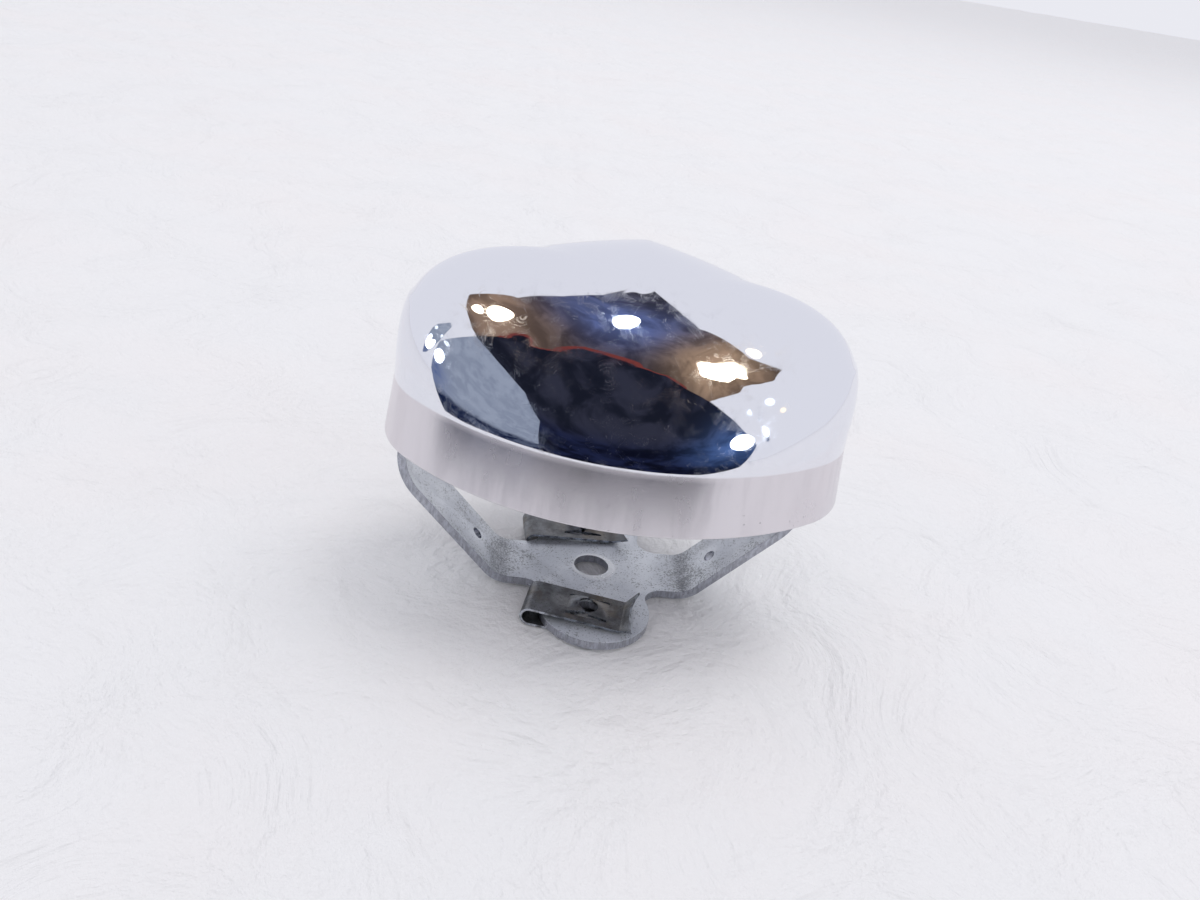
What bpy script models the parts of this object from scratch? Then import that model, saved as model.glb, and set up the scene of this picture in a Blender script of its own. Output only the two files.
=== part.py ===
"""Chromed horn cover on a stamped cross-shaped bracket with two U-type clip nuts.

Metres, +Z up. The bracket's long arms run along X and the cover's pointed corner looks
towards +Y. The whole part is moved at the end so that the origin is the middle of the
bottom of its bounding box; until then it is measured from the axis of the bracket's
centre hole, with z = 0 at the underside of the clips' lower leaves.
"""
import math

import bmesh
import bpy
from mathutils import Matrix, Vector

# ---------------------------------------------------------------- driving dimensions
FIT_GAP = 0.0003            # clearance between touching pieces

# cover: plan outline of the skirt's top edge, in the cover's own axes
COVER_BACK_Y = 0.0460       # pointed corner, from the bracket's centre hole
APEX_RADIUS = 0.0038        # radius of the pointed corner
APEX_TURN = math.radians(34.3)      # turn from straight back to the start of a back side
BACK_SIDE_RADIUS = 0.6470   # the back sides are nearly straight
BACK_SIDE_TURN = math.radians(38.8) # turn at the end of a back side
CORNER_RADIUS = 0.0212      # left and right corners
CORNER_TURN = math.radians(138.8)   # turn at the end of a corner; the front arc follows
COVER_YAW = math.radians(-6.8)      # the cover sits turned on the bracket's arms
COVER_WALL = 0.0012
RIM_HEIGHT = 0.0352         # rim above the underside of the clips
SKIRT_HEIGHT = 0.0138
SKIRT_DRAFT = math.radians(6.3)     # the skirt opens towards the rim
CROWN_HEIGHT = 0.0349       # height of the pressed crown above the skirt
CROWN_POWER = 2.6           # how far the crown stays full towards its edge
CROWN_FALL = 0.75           # fall of the crown from its ridge to front and back
CROWN_FALL_REACH = 0.0500   # distance over which that fall is stated
CROWN_RIDGE_Y = 0.0142      # line along which the crown is highest
CROWN_FOCUS_Y = -0.0090     # point that the crown's rings close on
SHOULDER_MEAN = 2.47        # roundness of the shoulder between skirt and crown
SHOULDER_BACK = -0.36       # change of roundness towards the back
SHOULDER_SIDE = -1.50       # change of roundness towards the sides (negative is fuller)
SHOULDER_LEAST = 1.95

# bracket: one stamped and bent strip
PLATE_THICK = 0.0020
ARM_WIDTH = 0.0160
ARM_BEND_X = 0.0229         # where the flat and the slope of an arm would meet on top
ARM_SLOPE = math.radians(47.0)
LOWER_BEND_RADIUS = 0.0058  # inside radius of the lower bend
UPPER_BEND_RADIUS = 0.0155  # outside radius of the upper bend
ARM_TIP_LAP = 0.0090        # how far an arm reaches up inside the skirt
ARM_TIP_CORNER = 0.0045
CENTRE_HOLE_RADIUS = 0.00425
ARM_HOLE_RADIUS = 0.0015
ARM_HOLE_REACH = 0.0084     # from the bend line, up the slope
LOBE_RADIUS = 0.0130
LOBE_CENTRE_Y = 0.0168
LOBE_FILLET = 0.0045        # between a lobe and the arms
LOBE_HOLE_RADIUS = 0.0040

# clip nuts: U-type speed nuts, pushed on over a lobe's left edge
CLIP_SHEET = 0.0006
CLIP_WIDTH = 0.0112
CLIP_FOLD_REACH = 0.0148    # from the thread's centre to the outside of the fold
CLIP_LIP_START = 0.0078     # from the thread's centre to the bend of the lead-in lip
CLIP_FOLD_OPENING = 0.0034  # inside height at the fold
CLIP_LIP_LENGTH = 0.0032
CLIP_LIP_RISE = math.radians(38.0)
CLIP_LIP_FLARE = 0.0021     # the lip's corners stand this far outside the leaf
CLIP_LIP_NOTCH = 0.0012
CLIP_LOWER_END = 0.0072     # from the thread's centre to the end of the lower leaf
THREAD_RADIUS = 0.0023
PRONG_REACH = 0.0048        # from the thread's centre to a prong's root
PRONG_HALF_WIDTH = 0.0030
PRONG_SLOT = 0.0007
PRONG_RISE = 0.0013         # rise of the left prong's end
PRONG_PITCH_DROP = 0.5      # the right prong rises this much of it, as a thread's turn
PRONG_CROSS_FALL = 0.35     # a prong is crowned across its width
LIP_BEND_RADIUS = 0.0010
LOWER_HOLE_RADIUS = 0.0032
# each clip: how far its fold stands off the lobe's left edge, how far the fold's corner
# stays off the arm, and its turn from the arms' direction
FRONT_CLIP_STAND_OFF = 0.0032
FRONT_CLIP_MARGIN = 0.0026
FRONT_CLIP_SKEW = math.radians(-11.5)
REAR_CLIP_STAND_OFF = 0.0039
REAR_CLIP_MARGIN = 0.0005
REAR_CLIP_SKEW = math.radians(4.5)

# weld beads between the arm tips and the skirt
BEAD_LEG = 0.0022
BEAD_LENGTH = 0.0100

# mesh fineness
FULL_TURN = 2.0 * math.pi
OUTLINE_STEP = math.radians(10.0)
CROWN_RINGS = 12
HOLE_SIDES = 24
BEND_STEP = math.radians(12.0)
EDGE_STEP = math.radians(15.0)
PRONG_STEPS = 4
LIP_STEPS = 2
BEAD_STEPS = 4

# heights that follow
PLATE_BOTTOM = CLIP_SHEET + FIT_GAP
PLATE_TOP = PLATE_BOTTOM + PLATE_THICK


# ---------------------------------------------------------------- small helpers
def clear_scene():
    for thing in list(bpy.data.objects):
        bpy.data.objects.remove(thing, do_unlink=True)


def make_material(name, colour, roughness, metallic):
    material = bpy.data.materials.new(name)
    material.use_nodes = True
    shader = material.node_tree.nodes["Principled BSDF"]
    shader.inputs["Base Color"].default_value = (*colour, 1.0)
    shader.inputs["Roughness"].default_value = roughness
    shader.inputs["Metallic"].default_value = metallic
    material.diffuse_color = (*colour, 1.0)
    return material


def make_object(name, bm, material, parent=None):
    """Turn a bmesh into a named, smooth-shaded object."""
    bmesh.ops.recalc_face_normals(bm, faces=bm.faces)
    mesh = bpy.data.meshes.new(name)
    bm.to_mesh(mesh)
    bm.free()
    mesh.shade_smooth()
    mesh.set_sharp_from_angle(angle=math.radians(35.0))
    mesh.materials.append(material)
    thing = bpy.data.objects.new(name, mesh)
    bpy.context.scene.collection.objects.link(thing)
    thing.parent = parent
    return thing


def make_empty(name, parent=None):
    empty = bpy.data.objects.new(name, None)
    empty.empty_display_size = 0.01
    bpy.context.scene.collection.objects.link(empty)
    empty.parent = parent
    return empty


def drill(target, name, radius, at, length, parent=None):
    """Cut a round hole along Z through the target."""
    bm = bmesh.new()
    bmesh.ops.create_cone(bm, cap_ends=True, segments=HOLE_SIDES, radius1=radius,
                          radius2=radius, depth=length)
    bmesh.ops.translate(bm, verts=bm.verts, vec=Vector(at))
    cutter = make_object(name, bm, target.data.materials[0], parent)
    cutter.hide_render = True
    cutter.display_type = 'WIRE'
    hole = target.modifiers.new(name, 'BOOLEAN')
    hole.operation = 'DIFFERENCE'
    hole.solver = 'EXACT'
    hole.object = cutter


def arc_angles(first, last, step):
    """Evenly spaced angles from first up to, but not including, last."""
    count = max(1, math.ceil(abs(last - first) / step))
    return [first + (last - first) * i / count for i in range(count)]


def loft(bm, rings):
    """Skin neighbouring rings of vertices with quads."""
    for lower, upper in zip(rings, rings[1:]):
        for i in range(len(lower)):
            j = (i + 1) % len(lower)
            bm.faces.new((lower[i], lower[j], upper[j], upper[i]))


# ---------------------------------------------------------------- cover
def cover_outline():
    """Points of the plan outline as (x, y, angle of the outward normal from +Y).

    One half is a chain of arcs: pointed corner, back side, side corner, front. The
    front arc's radius follows from closing the outline on the axis. The other half
    is its mirror image.
    """
    front_reach = (APEX_RADIUS * math.sin(APEX_TURN)
                   + BACK_SIDE_RADIUS * (math.sin(BACK_SIDE_TURN) - math.sin(APEX_TURN))
                   + CORNER_RADIUS * (math.sin(CORNER_TURN) - math.sin(BACK_SIDE_TURN)))
    front_radius = front_reach / math.sin(CORNER_TURN)
    arcs = (
        (APEX_RADIUS, 0.0, APEX_TURN, OUTLINE_STEP),
        (BACK_SIDE_RADIUS, APEX_TURN, BACK_SIDE_TURN, OUTLINE_STEP / 8.0),
        (CORNER_RADIUS, BACK_SIDE_TURN, CORNER_TURN, OUTLINE_STEP),
        (front_radius, CORNER_TURN, math.pi, OUTLINE_STEP / 1.5),
    )
    half = []
    x, y = 0.0, COVER_BACK_Y
    for radius, first, last, step in arcs:
        for angle in arc_angles(first, last, step):
            half.append((x + radius * (math.sin(angle) - math.sin(first)),
                         y + radius * (math.cos(angle) - math.cos(first)), angle))
        x += radius * (math.sin(last) - math.sin(first))
        y += radius * (math.cos(last) - math.cos(first))
    half.append((0.0, y, math.pi))
    other = [(-px, py, -angle) for px, py, angle in reversed(half[1:-1])]
    return half + other


def crown_height(share, angle, y):
    """Height of the crown over the skirt's top edge.

    share is 0 at the crown's focus and 1 at its edge, angle is the outline's normal
    there and y the distance behind the bracket's centre hole.
    """
    roundness = SHOULDER_MEAN + SHOULDER_BACK * math.cos(angle)
    roundness += SHOULDER_SIDE * math.cos(2.0 * angle)
    roundness = max(roundness, SHOULDER_LEAST)
    fall = 1.0 - CROWN_FALL * ((y - CROWN_RIDGE_Y) / CROWN_FALL_REACH) ** 2
    return CROWN_HEIGHT * fall * (1.0 - share ** CROWN_POWER) ** (1.0 / roundness)


def cover_skin(inset):
    """Rings of one skin of the cover, from the rim to the last ring of the crown."""
    outline = [(x - inset * math.sin(a), y - inset * math.cos(a), a)
               for x, y, a in cover_outline()]
    skirt_top = RIM_HEIGHT + SKIRT_HEIGHT
    spread = SKIRT_HEIGHT * math.tan(SKIRT_DRAFT)
    rings = []
    for level in (0.0, 0.5, 1.0):
        out = spread * (1.0 - level)
        rings.append([(x + out * math.sin(a), y + out * math.cos(a),
                       RIM_HEIGHT + SKIRT_HEIGHT * level) for x, y, a in outline])
    for i in range(1, CROWN_RINGS):
        turn = 0.5 * math.pi * i / CROWN_RINGS
        share = math.cos(turn) ** (2.0 / CROWN_POWER)
        ring = []
        for x, y, angle in outline:
            ring_y = CROWN_FOCUS_Y + (y - CROWN_FOCUS_Y) * share
            height = crown_height(share, angle, ring_y) * (1.0 - inset / CROWN_HEIGHT)
            ring.append((x * share, ring_y, skirt_top + height))
        rings.append(ring)
    top = crown_height(0.0, 0.0, CROWN_FOCUS_Y) * (1.0 - inset / CROWN_HEIGHT)
    return rings, (0.0, CROWN_FOCUS_Y, skirt_top + top)


def add_skin(bm, inset):
    """Add one skin to the mesh and return its rim ring."""
    rings, peak = cover_skin(inset)
    vertex_rings = [[bm.verts.new(point) for point in ring] for ring in rings]
    loft(bm, vertex_rings)
    top = bm.verts.new(peak)
    last = vertex_rings[-1]
    for i, vertex in enumerate(last):
        bm.faces.new((vertex, last[(i + 1) % len(last)], top))
    return vertex_rings[0]


def build_cover(material, parent):
    bm = bmesh.new()
    outer = add_skin(bm, 0.0)
    inner = add_skin(bm, COVER_WALL)
    loft(bm, [outer, inner])
    cover = make_object("cover_shell", bm, material, parent)
    cover.rotation_euler = (0.0, 0.0, COVER_YAW)
    return cover


def wall_reach(side, y, z):
    """How far along X (towards side) the skirt's inner wall is, at height y, z."""
    spread = (RIM_HEIGHT + SKIRT_HEIGHT - z) * math.tan(SKIRT_DRAFT) - COVER_WALL
    turn = Matrix.Rotation(COVER_YAW, 2)
    points = []
    for px, py, angle in cover_outline():
        points.append(turn @ Vector((px + spread * math.sin(angle),
                                     py + spread * math.cos(angle))))
    for a, b in zip(points, points[1:] + points[:1]):
        if (a.y - y) * (b.y - y) <= 0.0 and a.y != b.y and side * (a.x + b.x) > 0.0:
            return side * (a.x + (b.x - a.x) * (y - a.y) / (b.y - a.y))
    raise ValueError("the arm is wider than the cover")


# ---------------------------------------------------------------- bracket
class ArmPath:
    """Middle line of an arm in the XZ plane: flat, bend, slope, bend, tip."""

    def __init__(self, side):
        half = 0.5 * PLATE_THICK
        tip_turn = 0.5 * math.pi + SKIRT_DRAFT
        lap_top = RIM_HEIGHT + ARM_TIP_LAP
        edge = 0.5 * ARM_WIDTH
        reach = min(wall_reach(side, edge * k / 4.0, lap_top) for k in range(-4, 5))
        wall_x = reach - FIT_GAP / math.cos(SKIRT_DRAFT)
        lower = LOWER_BEND_RADIUS + half
        upper = UPPER_BEND_RADIUS - half
        self.flat = ARM_BEND_X - LOWER_BEND_RADIUS * math.tan(0.5 * ARM_SLOPE)
        # height and reach at the end of each bend, without the slope between them
        x = self.flat + lower * math.sin(ARM_SLOPE)
        x += upper * (math.sin(tip_turn) - math.sin(ARM_SLOPE))
        z = PLATE_BOTTOM + half + lower * (1.0 - math.cos(ARM_SLOPE))
        z += upper * (math.cos(ARM_SLOPE) - math.cos(tip_turn))
        # the tip leans with the skirt's wall and lies just inside it
        lean = math.tan(SKIRT_DRAFT)
        line_x = wall_x - half / math.cos(SKIRT_DRAFT)
        missing = line_x + lean * (lap_top - z) - x
        self.slope = missing / (math.cos(ARM_SLOPE) + lean * math.sin(ARM_SLOPE))
        z += self.slope * math.sin(ARM_SLOPE)
        self.tip = (lap_top - z) / math.cos(SKIRT_DRAFT)
        # each stretch: radius (None when straight), heading at its start and end, length
        self.stretches = (
            (None, 0.0, 0.0, self.flat),
            (lower, 0.0, ARM_SLOPE, lower * ARM_SLOPE),
            (None, ARM_SLOPE, ARM_SLOPE, self.slope),
            (upper, ARM_SLOPE, tip_turn, upper * (tip_turn - ARM_SLOPE)),
            (None, tip_turn, tip_turn, self.tip),
        )

    def length(self):
        return sum(stretch[3] for stretch in self.stretches)

    def creases(self):
        """Developed lengths at which the flat blank is creased to follow the bends."""
        marks = []
        at = 0.0
        for radius, first, last, length in self.stretches:
            if radius:
                steps = math.ceil((last - first) / BEND_STEP)
                marks += [at + length * i / steps for i in range(steps + 1)]
            at += length
        return marks

    def hole_at(self):
        """Developed length of the small hole, up the slope from the bend line."""
        tangent = LOWER_BEND_RADIUS * math.tan(0.5 * ARM_SLOPE)
        return self.flat + self.stretches[1][3] + ARM_HOLE_REACH - tangent

    def place(self, run, lift):
        """Reach and height of a point at developed length run, lift above the middle."""
        x, z = 0.0, PLATE_BOTTOM + 0.5 * PLATE_THICK
        heading = 0.0
        for radius, first, last, length in self.stretches:
            part = min(run, length)
            if radius:
                heading = first + part / radius
                x += radius * (math.sin(heading) - math.sin(first))
                z += radius * (math.cos(first) - math.cos(heading))
            else:
                heading = first
                x += part * math.cos(heading)
                z += part * math.sin(heading)
            run -= part
            if run <= 0.0:
                break
        return x - lift * math.sin(heading), z + lift * math.cos(heading)


def half_outline(length):
    """Outline of the blank's rear right quarter, from the arm's end to the lobe."""
    edge = 0.5 * ARM_WIDTH
    quarter = 0.5 * math.pi
    fillet_y = edge + LOBE_FILLET
    fillet_x = math.sqrt((LOBE_RADIUS + LOBE_FILLET) ** 2 - (LOBE_CENTRE_Y - fillet_y) ** 2)
    bearing = math.atan2(fillet_y - LOBE_CENTRE_Y, fillet_x)
    corner = [(length + ARM_TIP_CORNER * (math.cos(a) - 1.0),
               edge + ARM_TIP_CORNER * (math.sin(a) - 1.0))
              for a in arc_angles(0.0, quarter, 2.0 * EDGE_STEP) + [quarter]]
    fillet = [(fillet_x + LOBE_FILLET * math.cos(a), fillet_y + LOBE_FILLET * math.sin(a))
              for a in arc_angles(-quarter, bearing - math.pi, EDGE_STEP)]
    lobe = [(LOBE_RADIUS * math.cos(a), LOBE_CENTRE_Y + LOBE_RADIUS * math.sin(a))
            for a in arc_angles(bearing, quarter, EDGE_STEP)]
    return corner + fillet + lobe


def blank_outline(left_length, right_length):
    """Flat blank of the strip as one closed outline, counter-clockwise from above."""
    rear = half_outline(right_length) + [(0.0, LOBE_CENTRE_Y + LOBE_RADIUS)]
    rear += [(-x, y) for x, y in reversed(half_outline(left_length))]
    return rear + [(x, -y) for x, y in reversed(rear)]


def round_outline(x, y, radius):
    return [(x + radius * math.cos(FULL_TURN * i / HOLE_SIDES),
             y + radius * math.sin(FULL_TURN * i / HOLE_SIDES)) for i in range(HOLE_SIDES)]


def build_bracket(material, parent):
    """Punch the flat blank, then crease it and bend the arms up."""
    left, right = ArmPath(-1.0), ArmPath(1.0)
    half = 0.5 * PLATE_THICK
    loops = [
        blank_outline(left.length(), right.length()),
        round_outline(0.0, 0.0, CENTRE_HOLE_RADIUS),
        round_outline(*FRONT_CLIP_AT, LOBE_HOLE_RADIUS),
        round_outline(*REAR_CLIP_AT, LOBE_HOLE_RADIUS),
        round_outline(right.hole_at(), 0.0, ARM_HOLE_RADIUS),
        round_outline(-left.hole_at(), 0.0, ARM_HOLE_RADIUS),
    ]
    bm = bmesh.new()
    for loop in loops:
        ring = [bm.verts.new((x, y, -half)) for x, y in loop]
        for i, vertex in enumerate(ring):
            bm.edges.new((vertex, ring[(i + 1) % len(ring)]))
    bmesh.ops.triangle_fill(bm, use_beauty=True, edges=bm.edges)
    raised = bmesh.ops.extrude_face_region(bm, geom=bm.faces[:])["geom"]
    raised = [item for item in raised if isinstance(item, bmesh.types.BMVert)]
    bmesh.ops.translate(bm, verts=raised, vec=(0.0, 0.0, PLATE_THICK))
    for side, path in ((-1.0, left), (1.0, right)):
        for mark in path.creases():
            bmesh.ops.bisect_plane(bm, geom=bm.verts[:] + bm.edges[:] + bm.faces[:],
                                   dist=1e-7, plane_co=(side * mark, 0.0, 0.0),
                                   plane_no=(1.0, 0.0, 0.0))
    for vertex in bm.verts:
        path = left if vertex.co.x < 0.0 else right
        reach, height = path.place(abs(vertex.co.x), vertex.co.z)
        vertex.co.x = math.copysign(reach, vertex.co.x)
        vertex.co.z = height
    bmesh.ops.triangulate(bm, faces=bm.faces)
    return make_object("mounting_bracket", bm, material, parent)


# ---------------------------------------------------------------- clip nuts
def clip_place(side, stand_off, margin, skew):
    """Thread centre of a clip on the rear (side 1) or front (side -1) lobe."""
    x = CLIP_FOLD_REACH * math.cos(skew) - LOBE_RADIUS - stand_off
    y = 0.5 * ARM_WIDTH + margin + 0.5 * CLIP_WIDTH * math.cos(skew)
    y += CLIP_FOLD_REACH * abs(math.sin(skew))
    return x, side * y


FRONT_CLIP_AT = clip_place(-1.0, FRONT_CLIP_STAND_OFF, FRONT_CLIP_MARGIN, FRONT_CLIP_SKEW)
REAR_CLIP_AT = clip_place(1.0, REAR_CLIP_STAND_OFF, REAR_CLIP_MARGIN, REAR_CLIP_SKEW)


def clip_stations():
    """Middle line of the clip's sheet, from the lower leaf's end to the lip's end.

    Each station is (x, z, heading, kind, share): the heading turns from -X round the
    fold to +X, and share runs from 0 to 1 along the prongs and along the lip.
    """
    half = 0.5 * CLIP_SHEET
    fold = 0.5 * (CLIP_FOLD_OPENING + CLIP_SHEET)
    fold_x = -CLIP_FOLD_REACH + fold + half
    fold_z = half + fold
    ridge_z = PLATE_TOP + FIT_GAP + half
    run, rise = CLIP_LIP_START - fold_x, ridge_z - fold_z
    slope = math.atan2(run, rise) - math.acos(fold / math.hypot(run, rise))
    stations = [(CLIP_LOWER_END, half, math.pi, "lower", 0.0)]
    for heading in arc_angles(math.pi, -slope, BEND_STEP * 1.5) + [-slope]:
        stations.append((fold_x - fold * math.sin(heading),
                         fold_z + fold * math.cos(heading), heading, "fold", 0.0))

    def leaf(x):
        return ridge_z + (CLIP_LIP_START - x) * math.tan(slope)

    for side, order in ((-1.0, range(PRONG_STEPS + 1)), (1.0, range(PRONG_STEPS, -1, -1))):
        for i in order:
            share = i / PRONG_STEPS
            x = side * (PRONG_REACH + (0.5 * PRONG_SLOT - PRONG_REACH) * share)
            stations.append((x, leaf(x), -slope, "prong", share))
    x, z = CLIP_LIP_START, ridge_z
    bend = LIP_BEND_RADIUS
    headings = arc_angles(-slope, CLIP_LIP_RISE, BEND_STEP) + [CLIP_LIP_RISE]
    for heading in headings:
        stations.append((x + bend * (math.sin(heading) + math.sin(slope)),
                         z + bend * (math.cos(slope) - math.cos(heading)),
                         heading, "bend", 0.0))
    x, z = stations[-1][0], stations[-1][1]
    for i in range(1, LIP_STEPS + 1):
        share = i / LIP_STEPS
        length = CLIP_LIP_LENGTH * share
        stations.append((x + length * math.cos(CLIP_LIP_RISE),
                         z + length * math.sin(CLIP_LIP_RISE), CLIP_LIP_RISE, "lip", share))
    return stations


def clip_point(station, y):
    """Middle point and sheet normal of the clip at one station and one width."""
    x, z, heading, kind, share = station
    edge = 0.5 * CLIP_WIDTH
    if kind == "prong" and abs(y) <= PRONG_HALF_WIDTH:
        # the prong's end is hollowed to the thread's circle and arched up towards it
        side = math.copysign(1.0, x)
        hollow = math.sqrt(max(THREAD_RADIUS ** 2 - y ** 2, (0.5 * PRONG_SLOT) ** 2))
        end = side * hollow
        root = side * PRONG_REACH
        x = root + (end - root) * share
        lift = PRONG_RISE if side < 0.0 else PRONG_RISE * PRONG_PITCH_DROP
        arch = 1.0 - (1.0 - share) ** 2
        z += lift * arch * (1.0 - PRONG_CROSS_FALL * (y / PRONG_HALF_WIDTH) ** 2)
    if kind == "lip":
        x -= CLIP_LIP_NOTCH * share * (1.0 - (y / edge) ** 2)
        y *= 1.0 + CLIP_LIP_FLARE / edge * share
    return Vector((x, y, z)), Vector((-math.sin(heading), 0.0, math.cos(heading)))


def clip_cell_open(first, second, y_low, y_high):
    """True where the sheet is cut away between two stations and two widths."""
    if first[3] != "prong" or second[3] != "prong":
        return False
    middle = 0.5 * abs(y_low + y_high)
    beside = PRONG_HALF_WIDTH < middle < PRONG_HALF_WIDTH + PRONG_SLOT
    between = first[4] == 1.0 and second[4] == 1.0 and middle < PRONG_HALF_WIDTH
    return beside or between


def build_clip(name, at, skew, material, parent):
    edge = 0.5 * CLIP_WIDTH
    halves = [0.0, 0.5 * THREAD_RADIUS, 0.87 * THREAD_RADIUS, PRONG_HALF_WIDTH,
              PRONG_HALF_WIDTH + PRONG_SLOT, edge]
    widths = [-y for y in reversed(halves[1:])] + halves
    stations = clip_stations()
    bm = bmesh.new()
    skins = ([], [])
    for station in stations:
        for skin, lift in zip(skins, (0.5 * CLIP_SHEET, -0.5 * CLIP_SHEET)):
            row = []
            for y in widths:
                middle, normal = clip_point(station, y)
                row.append(bm.verts.new(middle + normal * lift))
            skin.append(row)
    outer, inner = skins
    rows, columns = len(stations) - 1, len(widths) - 1

    def solid(i, j):
        if not (0 <= i < rows and 0 <= j < columns):
            return False
        return not clip_cell_open(stations[i], stations[i + 1], widths[j], widths[j + 1])

    for i in range(rows):
        for j in range(columns):
            if not solid(i, j):
                continue
            for skin in skins:
                bm.faces.new((skin[i][j], skin[i + 1][j], skin[i + 1][j + 1], skin[i][j + 1]))
            sides = (((i - 1, j), (i, j), (i, j + 1)), ((i + 1, j), (i + 1, j), (i + 1, j + 1)),
                     ((i, j - 1), (i, j), (i + 1, j)), ((i, j + 1), (i, j + 1), (i + 1, j + 1)))
            for neighbour, a, b in sides:
                if not solid(*neighbour):
                    bm.faces.new((outer[a[0]][a[1]], outer[b[0]][b[1]],
                                  inner[b[0]][b[1]], inner[a[0]][a[1]]))
    loose = [vertex for vertex in bm.verts if not vertex.link_faces]
    bmesh.ops.delete(bm, geom=loose, context='VERTS')
    bmesh.ops.triangulate(bm, faces=bm.faces)
    clip = make_object(name, bm, material, parent)
    clip.location = (at[0], at[1], 0.0)
    clip.rotation_euler = (0.0, 0.0, skew)
    drill(clip, name + "_screw_hole", LOWER_HOLE_RADIUS, (0.0, 0.0, 0.5 * CLIP_SHEET),
          2.0 * CLIP_SHEET, clip)
    return clip


# ---------------------------------------------------------------- weld beads
def build_bead(name, side, material, parent):
    """Fillet bead in the corner between an arm's end and the skirt's inner wall."""
    low = RIM_HEIGHT + ARM_TIP_LAP + FIT_GAP + 0.5 * PLATE_THICK * math.sin(SKIRT_DRAFT)
    bm = bmesh.new()
    rings = []
    for i in range(BEAD_STEPS + 1):
        y = BEAD_LENGTH * (i / BEAD_STEPS - 0.5)
        foot = wall_reach(side, y, low) - FIT_GAP
        head = wall_reach(side, y, low + BEAD_LEG) - FIT_GAP
        bulge = 0.6 * BEAD_LEG
        section = ((foot, low), (head, low + BEAD_LEG),
                   (foot - bulge, low + bulge), (foot - BEAD_LEG, low))
        rings.append([bm.verts.new((side * x, y, z)) for x, z in section])
    loft(bm, rings)
    bm.faces.new(rings[0])
    bm.faces.new(rings[-1])
    bmesh.ops.triangulate(bm, faces=bm.faces)
    return make_object(name, bm, material, parent)


# ---------------------------------------------------------------- whole part
def centre_on_footprint(frame, pieces):
    """Move the frame so that the bounding box stands on z = 0, centred on the origin."""
    bpy.context.view_layer.update()
    points = [piece.matrix_world @ vertex.co for piece in pieces
              for vertex in piece.data.vertices]
    low = Vector([min(point[axis] for point in points) for axis in range(3)])
    high = Vector([max(point[axis] for point in points) for axis in range(3)])
    frame.location = (-0.5 * (low.x + high.x), -0.5 * (low.y + high.y), -low.z)
    bpy.context.view_layer.update()


clear_scene()
chrome = make_material("chrome", (0.80, 0.81, 0.84), 0.05, 1.0)
plating = make_material("zinc_plating", (0.56, 0.59, 0.63), 0.42, 1.0)
spring_steel = make_material("spring_steel", (0.10, 0.10, 0.105), 0.45, 0.8)
weld_metal = make_material("weld_metal", (0.45, 0.46, 0.48), 0.5, 1.0)

part_frame = make_empty("part_frame")
cover_shell = build_cover(chrome, part_frame)
mounting_bracket = build_bracket(plating, part_frame)
clip_nut_front = build_clip("clip_nut_front", FRONT_CLIP_AT, FRONT_CLIP_SKEW,
                            spring_steel, part_frame)
clip_nut_rear = build_clip("clip_nut_rear", REAR_CLIP_AT, REAR_CLIP_SKEW,
                           spring_steel, part_frame)
weld_bead_left = build_bead("weld_bead_left", -1.0, weld_metal, part_frame)
weld_bead_right = build_bead("weld_bead_right", 1.0, weld_metal, part_frame)
centre_on_footprint(part_frame, (cover_shell, mounting_bracket, clip_nut_front,
                                 clip_nut_rear, weld_bead_left, weld_bead_right))
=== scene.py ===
"""Looks of a chromed horn cover on its stamped bracket with two clip nuts.

Metres, +Z up. Each section makes one real piece: its sizes, mesh, material and its place
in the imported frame. The centre hole's axis and the heights come from the frame.
"""
import math

import bmesh
import bpy
from mathutils import Matrix, Vector, noise


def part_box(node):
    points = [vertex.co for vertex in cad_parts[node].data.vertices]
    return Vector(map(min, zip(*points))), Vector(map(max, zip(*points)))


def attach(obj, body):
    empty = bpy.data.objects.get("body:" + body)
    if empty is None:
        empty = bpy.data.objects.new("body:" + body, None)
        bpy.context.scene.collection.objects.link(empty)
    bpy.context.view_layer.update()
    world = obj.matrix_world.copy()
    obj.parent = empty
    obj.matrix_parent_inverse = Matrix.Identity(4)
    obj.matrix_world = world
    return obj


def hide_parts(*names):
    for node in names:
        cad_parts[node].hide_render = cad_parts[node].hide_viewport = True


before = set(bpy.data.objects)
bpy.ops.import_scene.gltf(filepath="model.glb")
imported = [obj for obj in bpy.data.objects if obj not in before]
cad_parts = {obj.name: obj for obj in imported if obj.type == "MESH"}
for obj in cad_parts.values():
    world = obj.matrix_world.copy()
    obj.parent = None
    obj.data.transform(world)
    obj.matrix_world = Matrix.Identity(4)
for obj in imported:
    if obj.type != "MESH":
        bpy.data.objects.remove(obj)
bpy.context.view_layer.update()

# ---------------------------------------------------------------- mounting bracket
# One strip stamped from 2 mm steel and dull zinc-plated: two arms bent up to the skirt, two
# round lobes for the clips, an M8 centre hole whose washer has rubbed the plating bright.
PLATE_THICK = 0.0020
ARM_WIDTH = 0.0160
ARM_BEND_X = 0.0229         # where the flat and the slope of an arm would meet on top
ARM_SLOPE = math.radians(47.0)
LOWER_BEND_RADIUS = 0.0058  # inside radius of the lower bend
UPPER_BEND_RADIUS = 0.0155  # outside radius of the upper bend
ARM_TIP_LAP = 0.0090        # how far an arm reaches up inside the skirt
ARM_TIP_CORNER = 0.0045
CENTRE_HOLE_RADIUS = 0.00425
ARM_HOLE_RADIUS = 0.0015
ARM_HOLE_REACH = 0.0084     # from the bend line, up the slope
LOBE_RADIUS = 0.0130
LOBE_CENTRE_Y = 0.0168
LOBE_FILLET = 0.0045
LOBE_HOLE_RADIUS = 0.0040
SHEARED_ROUNDING = 0.00022
CREASE_STEP = math.radians(3.0)
# the bends carry real speckle and painted crease shade, which darkens their colour
BEND_SHADE_AND_SPECKLE_REACH = 1.1       # of the bend's length, either way from its middle
WASHER_SLIP = (0.0006, -0.0004)
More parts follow.
